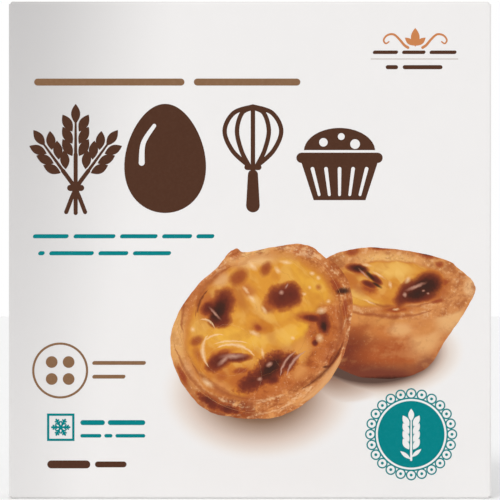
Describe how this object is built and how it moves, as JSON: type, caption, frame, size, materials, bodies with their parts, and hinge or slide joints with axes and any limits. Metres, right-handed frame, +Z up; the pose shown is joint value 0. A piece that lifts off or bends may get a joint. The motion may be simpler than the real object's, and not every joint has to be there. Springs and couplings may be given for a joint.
{
  "type": "frozen custard tart carton",
  "caption": "Shut upright paperboard carton for frozen custard tarts: near-square printed front panel, shallow depth, glued end flaps, stands on its bottom panel.",
  "frame": {"origin": "middle of the flat bottom panel that the carton stands on", "axes": "+Z up the front panel, -Y out of the front panel towards the viewer, +X to the viewer's right"},
  "size_m": [0.165, 0.0432, 0.17],
  "materials": {
    "board": "satin off-white coated paperboard, printed in brown, teal and warm food colours"
  },
  "bodies": {
    "root": {"carton": "board"}
  },
  "joints": []
}
